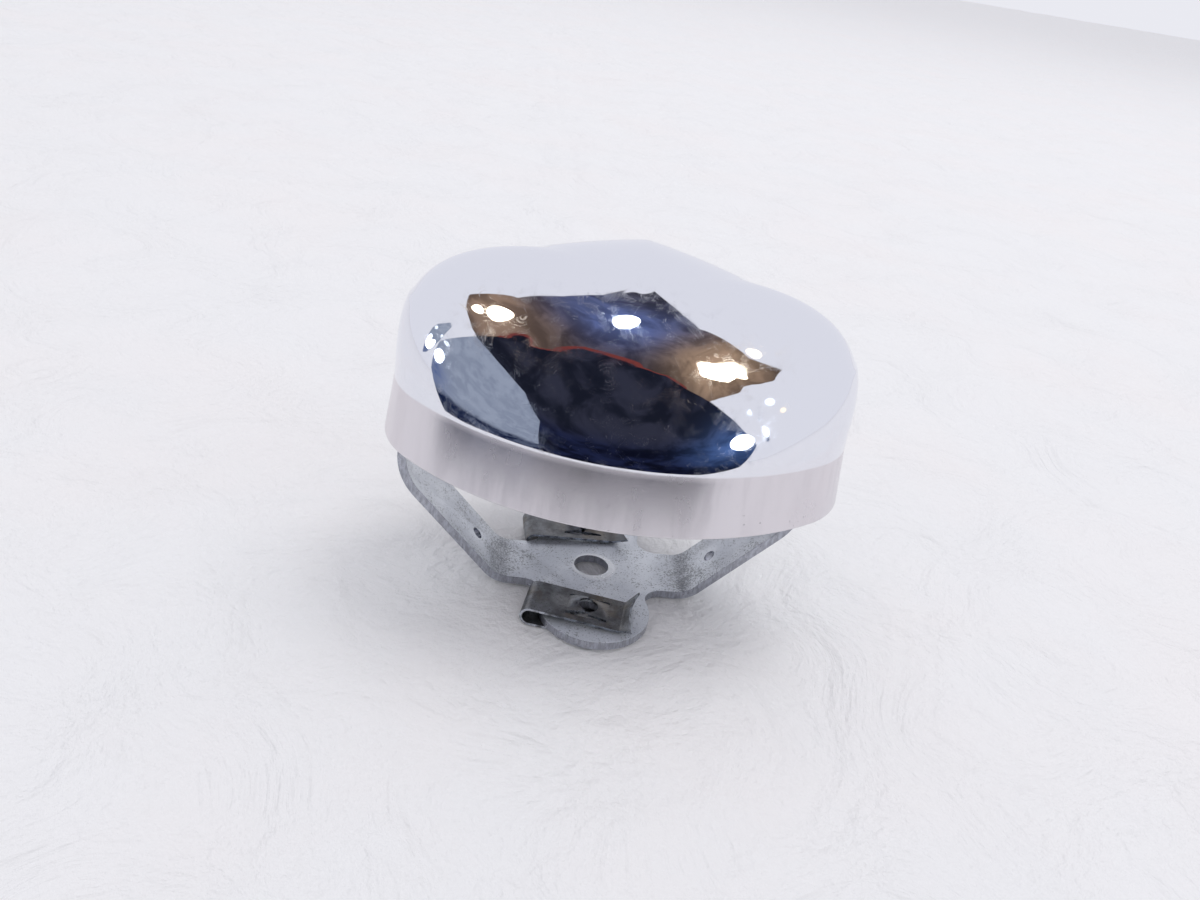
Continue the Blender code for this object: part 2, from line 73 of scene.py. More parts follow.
RUBBED_SHARE = 1.32         # of the hole's radius: rubbed bright up to here
RUBBED_END_SHARE = 1.52     # and not at all from here on
SKIRT_DRAFT = math.radians(6.3)

bracket_low, bracket_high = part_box("mounting_bracket")
cover_low, cover_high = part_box("cover_shell")
HOLE_AXIS = Vector((0.0, 0.5 * (bracket_low.y + bracket_high.y), 0.0))
PLATE_BOTTOM = bracket_low.z
PLATE_TOP = PLATE_BOTTOM + PLATE_THICK
RIM_HEIGHT = cover_low.z
FACE, SHEARED = 0, 1        # material places on a stamped piece


def arc_angles(first, last, step):
    """Evenly spaced angles from first up to, but not including, last."""
    count = max(1, math.ceil(abs(last - first) / step))
    return [first + (last - first) * i / count for i in range(count)]


def finish_mesh(name, bm, materials, body, node, at=(0.0, 0.0, 0.0), turn=0.0):
    """Turn a bmesh into a smooth-shaded piece that stands for a node of the frame."""
    bmesh.ops.recalc_face_normals(bm, faces=bm.faces)
    bm.transform(Matrix.Translation(at) @ Matrix.Rotation(turn, 4, 'Z'))
    mesh = bpy.data.meshes.new(name)
    bm.to_mesh(mesh)
    bm.free()
    mesh.shade_smooth()
    for material in materials:
        mesh.materials.append(material)
    piece = bpy.data.objects.new(name, mesh)
    bpy.context.scene.collection.objects.link(piece)
    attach(piece, body)
    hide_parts(node)
    return piece


def round_sharp_edges(piece, width, segments=2):
    """Break the sheared edges of a stamped piece."""
    bevel = piece.modifiers.new("rounding", 'BEVEL')
    bevel.width = width
    bevel.segments = segments
    bevel.limit_method = 'ANGLE'
    bevel.angle_limit = math.radians(50.0)
    bevel.use_clamp_overlap = True
    bevel.harden_normals = True


def feed(tree, socket, value):
    """Link a node's output to a socket, or set the socket to a number or a colour."""
    if isinstance(value, bpy.types.NodeSocket):
        tree.links.new(value, socket)
    elif socket.type == 'RGBA':
        socket.default_value = (*value, 1.0)
    else:
        socket.default_value = value


def add_node(tree, kind, inputs=(), **settings):
    """Add a shader node; inputs maps socket names to values or to other nodes' outputs."""
    made = tree.nodes.new(kind)
    for key, value in settings.items():
        setattr(made, key, value)
    for key, value in dict(inputs).items():
        feed(tree, made.inputs[key], value)
    return made


def add_math(tree, operation, first, second=0.0, clamp=False):
    return add_node(tree, "ShaderNodeMath", {0: first, 1: second}, operation=operation,
                    use_clamp=clamp).outputs[0]


def add_noise(tree, vector, scale, detail=4.0, roughness=0.55, distortion=0.0):
    return add_node(tree, "ShaderNodeTexNoise",
                    {"Vector": vector, "Scale": scale, "Detail": detail,
                     "Roughness": roughness, "Distortion": distortion}).outputs["Fac"]


def add_range(tree, value, low, high, out_low=0.0, out_high=1.0):
    """Map low..high smoothly to out_low..out_high."""
    return add_node(tree, "ShaderNodeMapRange",
                    {"Value": value, "From Min": low, "From Max": high,
                     "To Min": out_low, "To Max": out_high},
                    interpolation_type='SMOOTHSTEP').outputs["Result"]


def add_mix(tree, share, first, second):
    """Blend two colours: the first where share is 0, the second where it is 1."""
    mix = add_node(tree, "ShaderNodeMix", {"Factor": share}, data_type='RGBA')
    colour_inputs = [socket for socket in mix.inputs if socket.type == 'RGBA']
    for socket, value in zip(colour_inputs, (first, second)):
        feed(tree, socket, value)
    return [socket for socket in mix.outputs if socket.type == 'RGBA'][0]


def start_group(name, inputs, outputs):
    """A node group with float inputs {name: default} plus the object's own position."""
    tree = bpy.data.node_groups.new(name, 'ShaderNodeTree')
    for key, value in inputs.items():
        socket = tree.interface.new_socket(key, in_out='INPUT', socket_type='NodeSocketFloat')
        socket.default_value = value
    for key in outputs:
        tree.interface.new_socket(key, in_out='OUTPUT', socket_type='NodeSocketFloat')
    entry = tree.nodes.new('NodeGroupInput')
    leave = tree.nodes.new('NodeGroupOutput')
    place = tree.nodes.new('ShaderNodeTexCoord').outputs["Object"]
    return tree, entry, leave, place


def use_group(tree, group, **values):
    made = add_node(tree, "ShaderNodeGroup", node_tree=group)
    for key, value in values.items():
        feed(tree, made.inputs[key.replace("_", " ")], value)
    return made


def start_material(name):
    """A new material, its node tree, its shader and the object's own position."""
    material = bpy.data.materials.new(name)
    material.use_nodes = True
    tree = material.node_tree
    place = tree.nodes.new('ShaderNodeTexCoord').outputs["Object"]
    return material, tree, tree.nodes["Principled BSDF"], place


def add_bump(tree, shader, height, strength, distance):
    bump = add_node(tree, "ShaderNodeBump",
                    {"Strength": strength, "Distance": distance, "Height": height})
    tree.links.new(bump.outputs["Normal"], shader.inputs["Normal"])


def stretched_place(tree, place, stretch):
    """The object's position, stretched so that a texture draws streaks."""
    return add_node(tree, "ShaderNodeMapping",
                    {"Vector": place, "Scale": stretch}).outputs["Vector"]


def build_mottling():
    """Mottled plating: Patches are broad, Speckle is fine and dark, Grain is for the bump."""
    tree, entry, leave, place = start_group(
        "mottling", {"Patch Scale": 90.0, "Speckle Scale": 1100.0, "Speckle Share": 0.4},
        ("Patches", "Speckle", "Grain"))
    patches = add_noise(tree, place, entry.outputs["Patch Scale"], 5.0, 0.6)
    fine = add_noise(tree, place, entry.outputs["Speckle Scale"], 3.0, 0.7)
    where = add_noise(tree, place, 260.0, 2.0)
    density = add_math(tree, 'ADD', add_math(tree, 'MULTIPLY', where, 0.30),
                       add_math(tree, 'MULTIPLY', entry.outputs["Speckle Share"], 0.22))
    speck = add_math(tree, 'ADD', fine, density)
    links = tree.links
    links.new(add_range(tree, patches, 0.32, 0.68), leave.inputs["Patches"])
    links.new(add_range(tree, speck, 0.78, 0.90), leave.inputs["Speckle"])
    links.new(fine, leave.inputs["Grain"])
    return tree


def build_scratches():
    """Fine swirls left by wiping: broken arcs round scattered centres."""
    tree, entry, leave, place = start_group(
        "wiping_scratches", {"Fineness": 60.0, "Density": 0.5}, ("Scratch",))
    total = None
    for layer, size in enumerate((1.0, 0.62, 0.41)):
        cells = add_node(tree, "ShaderNodeTexVoronoi",
                         {"Vector": place, "Randomness": 1.0,
                          "Scale": add_math(tree, 'MULTIPLY', entry.outputs["Fineness"],
                                            size)}, feature='F1')
        along = add_math(tree, 'ADD', cells.outputs["Distance"],
                         add_math(tree, 'MULTIPLY', cells.outputs["Color"], 7.0 + layer))
        rings = add_node(tree, "ShaderNodeTexNoise",
                         {"W": along, "Scale": 75.0 / size, "Detail": 2.0,
                          "Roughness": 0.6}, noise_dimensions='1D').outputs[0]
        ridge = add_math(tree, 'ABSOLUTE', add_math(tree, 'SUBTRACT', rings, 0.5))
        line = add_range(tree, ridge, 0.0, 0.030, 1.0, 0.0)
        shift = add_node(tree, "ShaderNodeVectorMath", {0: place, 1: (layer, 0.3, 0.7)},
                         operation='ADD').outputs[0]
        cut = add_noise(tree, shift, 260.0, 2.0, 0.5, 0.5)
        stroke = add_math(tree, 'MULTIPLY', line, add_range(tree, cut, 0.55, 0.64))
        total = stroke if total is None else add_math(tree, 'MAXIMUM', total, stroke)
    tree.links.new(add_math(tree, 'MULTIPLY', total, entry.outputs["Density"], True),
                   leave.inputs["Scratch"])
    return tree


mottling = build_mottling()
wiping_scratches = build_scratches()


def make_plating():
    """Dull zinc plating, speckled at the bends and darker there as painted crease shade, rubbed
    bright round the hole.
    """
    material, tree, shader, place = start_material("zinc_plating")
    bend = add_node(tree, "ShaderNodeAttribute", attribute_name="bend").outputs["Fac"]
    marks = use_group(tree, mottling, Patch_Scale=110.0, Speckle_Scale=2300.0,
                      Speckle_Share=add_range(tree, bend, 0.0, 1.0, 0.35, 1.0))
    washer_centre = HOLE_AXIS + Vector((*WASHER_SLIP, PLATE_TOP))
    from_hole = add_node(tree, "ShaderNodeVectorMath",
                         {0: place, 1: washer_centre}, operation='DISTANCE').outputs["Value"]
    wobble = add_math(tree, 'MULTIPLY', add_noise(tree, place, 420.0), 0.0012)
    rubbed = add_range(tree, add_math(tree, 'ADD', from_hole, wobble),
                       RUBBED_SHARE * CENTRE_HOLE_RADIUS,
                       RUBBED_END_SHARE * CENTRE_HOLE_RADIUS, 1.0, 0.0)
    colour = add_mix(tree, marks.outputs["Patches"], (0.66, 0.69, 0.74), (0.80, 0.83, 0.87))
    # painted shade: the colour darkens towards the middle of each lower bend, where the crease
    # is shaded
    colour = add_mix(tree, add_math(tree, 'MULTIPLY', bend, 0.60), colour, (0.34, 0.35, 0.38))
    colour = add_mix(tree, add_math(tree, 'MULTIPLY', marks.outputs["Speckle"], 0.78),
                     colour, (0.19, 0.20, 0.21))
    colour = add_mix(tree, add_math(tree, 'MULTIPLY', rubbed, 0.75), colour,
                     (0.86, 0.88, 0.90))
    tree.links.new(colour, shader.inputs["Base Color"])
    shader.inputs["Metallic"].default_value = 0.65
    rough = add_math(tree, 'ADD', add_math(tree, 'MULTIPLY', marks.outputs["Patches"], -0.10),
                     0.48)
    rough = add_math(tree, 'SUBTRACT', rough, add_math(tree, 'MULTIPLY', rubbed, 0.14))
    tree.links.new(rough, shader.inputs["Roughness"])
    add_bump(tree, shader, marks.outputs["Grain"], 0.35, 0.00012)
    return material


def make_sheared_plating():
    """The strip's sheared edge: plated like the face, streaked across by the punch."""
    material, tree, shader, place = start_material("sheared_plating")
    streaks = add_noise(tree, stretched_place(tree, place, (1.0, 1.0, 0.25)), 2200.0, 3.0, 0.6)
    band = add_noise(tree, place, 300.0, 3.0)
    tree.links.new(add_mix(tree, add_range(tree, streaks, 0.35, 0.65),
                           (0.34, 0.35, 0.39), (0.48, 0.50, 0.56)),
                   shader.inputs["Base Color"])
    shader.inputs["Metallic"].default_value = 0.95
    tree.links.new(add_range(tree, band, 0.35, 0.65, 0.20, 0.42), shader.inputs["Roughness"])
    add_bump(tree, shader, streaks, 0.2, 0.00006)
    return material


class ArmPath:
    """Middle line of an arm in the XZ plane: flat, bend, slope, bend, tip."""

    def __init__(self, tip_reach):
        half = 0.5 * PLATE_THICK
        tip_turn = 0.5 * math.pi + SKIRT_DRAFT
        lower = LOWER_BEND_RADIUS + half
        upper = UPPER_BEND_RADIUS - half
        sine, cosine = math.sin(ARM_SLOPE), math.cos(ARM_SLOPE)
        self.flat = ARM_BEND_X - LOWER_BEND_RADIUS * math.tan(0.5 * ARM_SLOPE)
        # the arm reaches furthest out where the upper bend is upright
        to_go = tip_reach - half - self.flat - lower * sine - upper * (1.0 - sine)
        slope = to_go / cosine
        z = PLATE_BOTTOM + half + lower * (1.0 - cosine) + slope * sine
        z += upper * (cosine - math.cos(tip_turn))
        tip = (RIM_HEIGHT + ARM_TIP_LAP - z) / math.cos(SKIRT_DRAFT)
        # each stretch: radius (None when straight), heading at its start and end, length
        self.stretches = (
            (None, 0.0, 0.0, self.flat),
            (lower, 0.0, ARM_SLOPE, lower * ARM_SLOPE),
            (None, ARM_SLOPE, ARM_SLOPE, slope),
            (upper, ARM_SLOPE, tip_turn, upper * (tip_turn - ARM_SLOPE)),
            (None, tip_turn, tip_turn, tip),
        )

    def length(self):
        return sum(stretch[3] for stretch in self.stretches)

    def creases(self):
        """Developed lengths at which the flat blank is creased to follow the bends."""
        marks = []
        at = 0.0
        for radius, first, last, length in self.stretches:
            if radius:
                steps = math.ceil((last - first) / CREASE_STEP)
                marks += [at + length * i / steps for i in range(steps + 1)]
            at += length
        return marks

    def hole_at(self):
        """Developed length of the small hole, up the slope from the bend line."""
        tangent = LOWER_BEND_RADIUS * math.tan(0.5 * ARM_SLOPE)
        return self.flat + self.stretches[1][3] + ARM_HOLE_REACH - tangent

    def place(self, run, lift):
        """Reach and height of a point at developed length run, lift above the middle."""
        x, z = 0.0, PLATE_BOTTOM + 0.5 * PLATE_THICK
        heading = 0.0
        for radius, first, last, length in self.stretches:
            part = min(run, length)
            if radius:
                heading = first + part / radius
                x += radius * (math.sin(heading) - math.sin(first))
                z += radius * (math.cos(first) - math.cos(heading))
            else:
                heading = first
                x += part * math.cos(heading)
                z += part * math.sin(heading)
            run -= part
            if run <= 0.0:
                break
        return x - lift * math.sin(heading), z + lift * math.cos(heading)

    def bend_share(self, run):
        """1 in the middle of the lower bend and 0 well away from it."""
        length = self.stretches[1][3]
        middle = self.flat + 0.5 * length
        return max(0.0, 1.0 - abs(run - middle) / (BEND_SHADE_AND_SPECKLE_REACH * length))


def half_outline(length):
    """Outline of the blank's rear right quarter, from the arm's end to the lobe."""
    edge = 0.5 * ARM_WIDTH
    quarter = 0.5 * math.pi
    step = math.radians(4.0)
    fillet_y = edge + LOBE_FILLET
    fillet_x = math.sqrt((LOBE_RADIUS + LOBE_FILLET) ** 2 - (LOBE_CENTRE_Y - fillet_y) ** 2)
    bearing = math.atan2(fillet_y - LOBE_CENTRE_Y, fillet_x)
    corner = [(length + ARM_TIP_CORNER * (math.cos(a) - 1.0),
               edge + ARM_TIP_CORNER * (math.sin(a) - 1.0))
              for a in arc_angles(0.0, quarter, 3.0 * step) + [quarter]]
    fillet = [(fillet_x + LOBE_FILLET * math.cos(a), fillet_y + LOBE_FILLET * math.sin(a))
              for a in arc_angles(-quarter, bearing - math.pi, 2.0 * step)]
    lobe = [(LOBE_RADIUS * math.cos(a), LOBE_CENTRE_Y + LOBE_RADIUS * math.sin(a))
            for a in arc_angles(bearing, quarter, step)]
    return corner + fillet + lobe


def blank_outline(left_length, right_length):
    """Flat blank of the strip as one closed outline, counter-clockwise from above."""
    rear = half_outline(right_length) + [(0.0, LOBE_CENTRE_Y + LOBE_RADIUS)]
    rear += [(-x, y) for x, y in reversed(half_outline(left_length))]
    return rear + [(x, -y) for x, y in reversed(rear)]


def round_outline(x, y, radius, sides=48):
    return [(x + radius * math.cos(2.0 * math.pi * i / sides),
             y + radius * math.sin(2.0 * math.pi * i / sides)) for i in range(sides)]


def build_bracket(front_hole, rear_hole):
    """Punch the flat blank, then crease it finely and bend the arms up."""
    left, right = ArmPath(-bracket_low.x), ArmPath(bracket_high.x)
    half = 0.5 * PLATE_THICK
    loops = [
        blank_outline(left.length(), right.length()),
        round_outline(0.0, 0.0, CENTRE_HOLE_RADIUS),
        round_outline(front_hole.x, front_hole.y, LOBE_HOLE_RADIUS),
        round_outline(rear_hole.x, rear_hole.y, LOBE_HOLE_RADIUS),
        round_outline(right.hole_at(), 0.0, ARM_HOLE_RADIUS, 24),
        round_outline(-left.hole_at(), 0.0, ARM_HOLE_RADIUS, 24),
    ]
    bm = bmesh.new()
    for loop in loops:
        ring = [bm.verts.new((x, y, -half)) for x, y in loop]
        for i, vertex in enumerate(ring):
            bm.edges.new((vertex, ring[(i + 1) % len(ring)]))
    bmesh.ops.triangle_fill(bm, use_beauty=True, edges=bm.edges)
    raised = bmesh.ops.extrude_face_region(bm, geom=bm.faces[:])["geom"]
    raised = [item for item in raised if isinstance(item, bmesh.types.BMVert)]
    bmesh.ops.translate(bm, verts=raised, vec=(0.0, 0.0, PLATE_THICK))
    bmesh.ops.recalc_face_normals(bm, faces=bm.faces)
    for side, path in ((-1.0, left), (1.0, right)):
        for mark in path.creases():
            bmesh.ops.bisect_plane(bm, geom=bm.verts[:] + bm.edges[:] + bm.faces[:],
                                   dist=1e-7, plane_co=(side * mark, 0.0, 0.0),
                                   plane_no=(1.0, 0.0, 0.0))
    for face in bm.faces:
        face.material_index = SHEARED if abs(face.normal.z) < 0.5 else FACE
    bend = bm.verts.layers.float.new("bend")
    for vertex in bm.verts:
        run = abs(vertex.co.x)
        path = left if vertex.co.x < 0.0 else right
        vertex[bend] = path.bend_share(run)
        reach, height = path.place(run, vertex.co.z)
        vertex.co.x = math.copysign(reach, vertex.co.x)
        vertex.co.z = height
    bmesh.ops.dissolve_limit(bm, angle_limit=math.radians(0.3), verts=bm.verts,
                             edges=bm.edges, delimit={'MATERIAL'})
    piece = finish_mesh("bracket_strip", bm, (make_plating(), make_sheared_plating()),
                        "cover_and_bracket", "mounting_bracket", HOLE_AXIS)
    round_sharp_edges(piece, SHEARED_ROUNDING)


# ---------------------------------------------------------------- clip nuts
# Two U-shaped speed nuts of dark phosphated spring steel, folded from 0.6 mm sheet and
# pushed over the lobes' left edges. Two arched prongs bite the screw; a flared lip leads in.
FIT_GAP = 0.0003            # between a leaf and the plate
CLIP_SHEET = PLATE_BOTTOM - FIT_GAP
CLIP_WIDTH = 0.0112
CLIP_FOLD_REACH = 0.0148    # from the thread's centre to the outside of the fold
CLIP_LIP_START = 0.0078
CLIP_FOLD_OPENING = 0.0034
CLIP_LIP_LENGTH = 0.0032
CLIP_LIP_RISE = math.radians(38.0)
CLIP_LIP_FLARE = 0.0021
CLIP_LIP_NOTCH = 0.0012
CLIP_LOWER_END = 0.0072
THREAD_RADIUS = 0.0023
PRONG_REACH = 0.0048
PRONG_HALF_WIDTH = 0.0030
PRONG_SLOT = 0.0007
PRONG_RISE = 0.0013
PRONG_PITCH_DROP = 0.5
PRONG_CROSS_FALL = 0.35
LIP_BEND_RADIUS = 0.0010
LOWER_HOLE_RADIUS = 0.0032
FRONT_CLIP_STAND_OFF = 0.0032
FRONT_CLIP_MARGIN = 0.0026
FRONT_CLIP_SKEW = math.radians(-11.5)
REAR_CLIP_STAND_OFF = 0.0039
REAR_CLIP_MARGIN = 0.0005
REAR_CLIP_SKEW = math.radians(4.5)
PRONG_STEPS = 10
LIP_STEPS = 6
CLIP_ROUNDING = 0.00009


def clip_place(side, stand_off, margin, skew):
    """Thread centre of a clip on the rear (side 1) or front (side -1) lobe."""
    x = CLIP_FOLD_REACH * math.cos(skew) - LOBE_RADIUS - stand_off
    y = 0.5 * ARM_WIDTH + margin + 0.5 * CLIP_WIDTH * math.cos(skew)
    y += CLIP_FOLD_REACH * abs(math.sin(skew))
    return Vector((x, side * y, 0.0))


def clip_stations():
    """Middle line of the clip's sheet, from the lower leaf's end to the lip's end."""
    half = 0.5 * CLIP_SHEET
    fold = 0.5 * (CLIP_FOLD_OPENING + CLIP_SHEET)
    fold_x = -CLIP_FOLD_REACH + fold + half
    fold_z = half + fold
    ridge_z = PLATE_TOP + FIT_GAP + half
    run, rise = CLIP_LIP_START - fold_x, ridge_z - fold_z
    slope = math.atan2(run, rise) - math.acos(fold / math.hypot(run, rise))
    stations = [(CLIP_LOWER_END, half, math.pi, "lower", 0.0)]
    for heading in arc_angles(math.pi, -slope, math.radians(7.0)) + [-slope]:
        stations.append((fold_x - fold * math.sin(heading),
                         fold_z + fold * math.cos(heading), heading, "fold", 0.0))

    def leaf(x):
        return ridge_z + (CLIP_LIP_START - x) * math.tan(slope)

    for side, order in ((-1.0, range(PRONG_STEPS + 1)), (1.0, range(PRONG_STEPS, -1, -1))):
        for i in order:
            share = i / PRONG_STEPS
            x = side * (PRONG_REACH + (0.5 * PRONG_SLOT - PRONG_REACH) * share)
            stations.append((x, leaf(x), -slope, "prong", share))
    bend = LIP_BEND_RADIUS
    for heading in arc_angles(-slope, CLIP_LIP_RISE, math.radians(6.0)) + [CLIP_LIP_RISE]:
        stations.append((CLIP_LIP_START + bend * (math.sin(heading) + math.sin(slope)),
                         ridge_z + bend * (math.cos(slope) - math.cos(heading)),
                         heading, "bend", 0.0))
    x, z = stations[-1][0], stations[-1][1]
    for i in range(1, LIP_STEPS + 1):
        share = i / LIP_STEPS
        length = CLIP_LIP_LENGTH * share
        stations.append((x + length * math.cos(CLIP_LIP_RISE),
                         z + length * math.sin(CLIP_LIP_RISE), CLIP_LIP_RISE, "lip", share))
    return stations


def clip_point(station, y):
    """Middle point and sheet normal of the clip at one station and one width."""
    x, z, heading, kind, share = station
    edge = 0.5 * CLIP_WIDTH
    if kind == "prong" and abs(y) <= PRONG_HALF_WIDTH:
        # the prong's end is hollowed to the thread's circle and arched up towards it
        side = math.copysign(1.0, x)
        hollow = math.sqrt(max(THREAD_RADIUS ** 2 - y ** 2, (0.5 * PRONG_SLOT) ** 2))
        root = side * PRONG_REACH
        x = root + (side * hollow - root) * share
        lift = PRONG_RISE if side < 0.0 else PRONG_RISE * PRONG_PITCH_DROP
        arch = 1.0 - (1.0 - share) ** 2
        z += lift * arch * (1.0 - PRONG_CROSS_FALL * (y / PRONG_HALF_WIDTH) ** 2)
    if kind == "lip":
        x -= CLIP_LIP_NOTCH * share * (1.0 - (y / edge) ** 2)
        y *= 1.0 + CLIP_LIP_FLARE / edge * share
    return Vector((x, y, z)), Vector((-math.sin(heading), 0.0, math.cos(heading)))


def clip_cell_open(first, second, y_low, y_high):
    """True where the sheet is cut away between two stations and two widths."""
    if first[3] != "prong" or second[3] != "prong":
        return False
    middle = 0.5 * abs(y_low + y_high)
    beside = PRONG_HALF_WIDTH < middle < PRONG_HALF_WIDTH + PRONG_SLOT
    between = first[4] == 1.0 and second[4] == 1.0 and middle < PRONG_HALF_WIDTH
    return beside or between


def drill(piece, radius, at, length):
    """Cut a round upright hole through a piece and keep the result as its mesh."""
    bm = bmesh.new()
    bmesh.ops.create_cone(bm, cap_ends=True, segments=48, radius1=radius, radius2=radius,
                          depth=length)
    bmesh.ops.translate(bm, verts=bm.verts, vec=at)
    mesh = bpy.data.meshes.new("cutter")
    bm.to_mesh(mesh)
    bm.free()
    for material in piece.data.materials:
        mesh.materials.append(material)
    for face in mesh.polygons:
        face.material_index = SHEARED
    cutter = bpy.data.objects.new("cutter", mesh)
    bpy.context.scene.collection.objects.link(cutter)
    hole = piece.modifiers.new("hole", 'BOOLEAN')
    hole.operation = 'DIFFERENCE'
    hole.solver = 'EXACT'
    hole.object = cutter
    bpy.context.view_layer.update()
    cut = piece.evaluated_get(bpy.context.evaluated_depsgraph_get())
    drilled = bpy.data.meshes.new_from_object(cut)
    piece.modifiers.remove(hole)
    piece.data = drilled
    bpy.data.objects.remove(cutter, do_unlink=True)


def make_phosphate():
    """Dark phosphated spring steel: brownish film, lighter where the fold and lip rub."""
    material, tree, shader, place = start_material("spring_phosphate")
    worn = add_node(tree, "ShaderNodeAttribute", attribute_name="worn").outputs["Fac"]
    marks = use_group(tree, mottling, Patch_Scale=260.0, Speckle_Scale=1700.0,
                      Speckle_Share=0.3)
    colour = add_mix(tree, marks.outputs["Patches"], (0.098, 0.100, 0.104),
                     (0.200, 0.202, 0.204))
    film = add_range(tree, add_noise(tree, place, 150.0, 3.0), 0.48, 0.70)
    colour = add_mix(tree, add_math(tree, 'MULTIPLY', film, 0.6), colour,
                     (0.150, 0.118, 0.080))
    colour = add_mix(tree, add_math(tree, 'MULTIPLY', worn, marks.outputs["Patches"]),
                     colour, (0.30, 0.33, 0.38))
    colour = add_mix(tree, add_math(tree, 'MULTIPLY', marks.outputs["Speckle"], 0.5),
                     colour, (0.03, 0.03, 0.03))
    tree.links.new(colour, shader.inputs["Base Color"])
    shader.inputs["Metallic"].default_value = 0.85
    scratch = use_group(tree, wiping_scratches, Fineness=110.0, Density=0.6)
    rough = add_range(tree, marks.outputs["Grain"], 0.3, 0.7, 0.30, 0.48)
    rough = add_math(tree, 'SUBTRACT', rough,
                     add_math(tree, 'MULTIPLY', scratch.outputs["Scratch"], 0.15))
    tree.links.new(rough, shader.inputs["Roughness"])
    add_bump(tree, shader, marks.outputs["Grain"], 0.25, 0.00006)
    return material


def make_sheared_spring():
    """Bare bright edge where the spring sheet was cut after phosphating wore off."""
    material, tree, shader, place = start_material("sheared_spring")
    wear = add_noise(tree, place, 520.0, 4.0, 0.6)
    tree.links.new(add_mix(tree, add_range(tree, wear, 0.36, 0.60), (0.16, 0.16, 0.17),
                           (0.62, 0.66, 0.72)), shader.inputs["Base Color"])
    shader.inputs["Metallic"].default_value = 0.95
    tree.links.new(add_range(tree, wear, 0.3, 0.7, 0.42, 0.22), shader.inputs["Roughness"])
    return material


spring_phosphate = make_phosphate()
sheared_spring = make_sheared_spring()


def build_clip(name, at, skew, body, node):
    """Lay both skins of a clip's sheet over its middle line and close every cut edge."""
    edge = 0.5 * CLIP_WIDTH
    slot_edge = PRONG_HALF_WIDTH + PRONG_SLOT
    halves = [0.0] + [THREAD_RADIUS * k for k in (0.25, 0.5, 0.7, 0.85, 0.94)]
    halves += [PRONG_HALF_WIDTH, slot_edge, 0.5 * (slot_edge + edge), edge]
    widths = [-y for y in reversed(halves[1:])] + halves
    stations = clip_stations()
    bm = bmesh.new()
    worn = bm.verts.layers.float.new("worn")
    skins = ([], [])
    for station in stations:
        rubbed = {"fold": 0.35, "prong": station[4], "lip": 0.6 * station[4]}
        for skin, lift in zip(skins, (0.5 * CLIP_SHEET, -0.5 * CLIP_SHEET)):
            row = []
            for y in widths:
                middle, normal = clip_point(station, y)
                vertex = bm.verts.new(middle + normal * lift)
                vertex[worn] = rubbed.get(station[3], 0.0)
                if station[3] == "prong" and (station[0] > 0.0 or abs(y) > PRONG_HALF_WIDTH):
                    vertex[worn] = 0.1
                row.append(vertex)
            skin.append(row)
    outer, inner = skins
    rows, columns = len(stations) - 1, len(widths) - 1

    def solid(i, j):
        if not (0 <= i < rows and 0 <= j < columns):
            return False
        return not clip_cell_open(stations[i], stations[i + 1], widths[j], widths[j + 1])

    for i in range(rows):
        for j in range(columns):
            if not solid(i, j):
                continue
            for skin in skins:
                bm.faces.new((skin[i][j], skin[i + 1][j], skin[i + 1][j + 1], skin[i][j + 1]))
            sides = (((i - 1, j), (i, j), (i, j + 1)), ((i + 1, j), (i + 1, j), (i + 1, j + 1)),
                     ((i, j - 1), (i, j), (i + 1, j)), ((i, j + 1), (i, j + 1), (i + 1, j + 1)))
            for neighbour, a, b in sides:
                if not solid(*neighbour):
                    side = bm.faces.new((outer[a[0]][a[1]], outer[b[0]][b[1]],
                                         inner[b[0]][b[1]], inner[a[0]][a[1]]))
                    side.material_index = SHEARED
    loose = [vertex for vertex in bm.verts if not vertex.link_faces]
    bmesh.ops.delete(bm, geom=loose, context='VERTS')
    centre = HOLE_AXIS + at
    piece = finish_mesh(name, bm, (spring_phosphate, sheared_spring), body, node,
                        centre, skew)
    drill(piece, LOWER_HOLE_RADIUS, centre + Vector((0.0, 0.0, 0.5 * CLIP_SHEET)),
          2.0 * CLIP_SHEET)
    round_sharp_edges(piece, CLIP_ROUNDING)


front_clip_at = clip_place(-1.0, FRONT_CLIP_STAND_OFF, FRONT_CLIP_MARGIN, FRONT_CLIP_SKEW)
rear_clip_at = clip_place(1.0, REAR_CLIP_STAND_OFF, REAR_CLIP_MARGIN, REAR_CLIP_SKEW)
build_clip("front_speed_nut", front_clip_at, FRONT_CLIP_SKEW, "front_clip", "clip_nut_front")
build_clip("rear_speed_nut", rear_clip_at, REAR_CLIP_SKEW, "rear_clip", "clip_nut_rear")
build_bracket(front_clip_at, rear_clip_at)


# ---------------------------------------------------------------- cover
# The deep-drawn steel cover, mirror-chromed: a crown with a soft crease running to its
# pointed corner and a plain skirt. The skirt sits turned on the bracket's arm tips.
COVER_BACK_Y = 0.0460       # pointed corner, from the bracket's centre hole
APEX_RADIUS = 0.0038
APEX_TURN = math.radians(34.3)
BACK_SIDE_RADIUS = 0.6470
BACK_SIDE_TURN = math.radians(38.8)
CORNER_RADIUS = 0.0212
CORNER_TURN = math.radians(138.8)
COVER_YAW = math.radians(-6.8)
COVER_WALL = 0.0012
SKIRT_HEIGHT = 0.0138
CROWN_HEIGHT = 0.0349
CROWN_POWER = 2.6
CROWN_FALL = 0.75
CROWN_FALL_REACH = 0.0500
CROWN_RIDGE_Y = 0.0142
CROWN_FOCUS_Y = -0.0090
SHOULDER_MEAN = 2.47
SHOULDER_BACK = -0.36
SHOULDER_SIDE = -1.50
SHOULDER_LEAST = 1.95
CROWN_RINGS = 96
SKIRT_RINGS = 10
OUTLINE_SPACING = 0.0008
OUTLINE_TIGHTEST = 0.013    # an arc tighter than this is stepped as if it had this radius
FAIR_SHARE = 0.50           # the corners' ridges die out above this share of the crown
FAIR_PASSES = 60
RIM_ROUNDING = 0.0004


